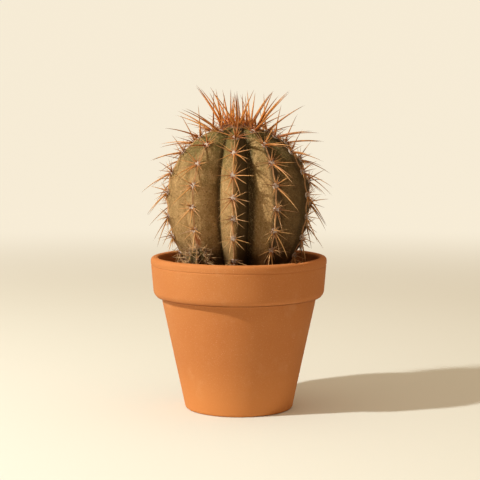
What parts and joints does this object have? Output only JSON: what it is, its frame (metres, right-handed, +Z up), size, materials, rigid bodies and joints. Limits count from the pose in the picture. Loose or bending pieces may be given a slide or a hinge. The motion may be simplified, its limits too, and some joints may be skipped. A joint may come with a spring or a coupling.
{
  "type": "potted round cactus",
  "caption": "Round ribbed cactus with long curved spines, in a tapered terracotta pot with a deep collar, soil and a small pup at its foot.",
  "frame": {"origin": "centre of the pot's underside, on the pot's axis", "axes": "+Z up along the pot's axis; the front faces -Y, with the pup at the front left, at about -38 degrees from the front"},
  "size_m": [0.1775, 0.1814, 0.2883],
  "materials": {
    "terracotta": "matte",
    "soil": "matte",
    "stem_skin": "satin",
    "pup_skin": "satin",
    "spines": "satin",
    "young_spines": "satin"
  },
  "bodies": {
    "root": {"terracotta_pot": "terracotta", "potting_soil": "soil", "cactus_stem": "stem_skin", "spine_row_01": "spines", "spine_row_02": "spines", "spine_row_03": "spines", "spine_row_04": "spines", "spine_row_05": "spines", "spine_row_06": "spines", "spine_row_07": "spines", "spine_row_08": "spines", "spine_row_09": "spines", "spine_row_10": "spines", "crown_spines": "young_spines", "pup": "pup_skin", "pup_spines": "spines"}
  },
  "joints": []
}
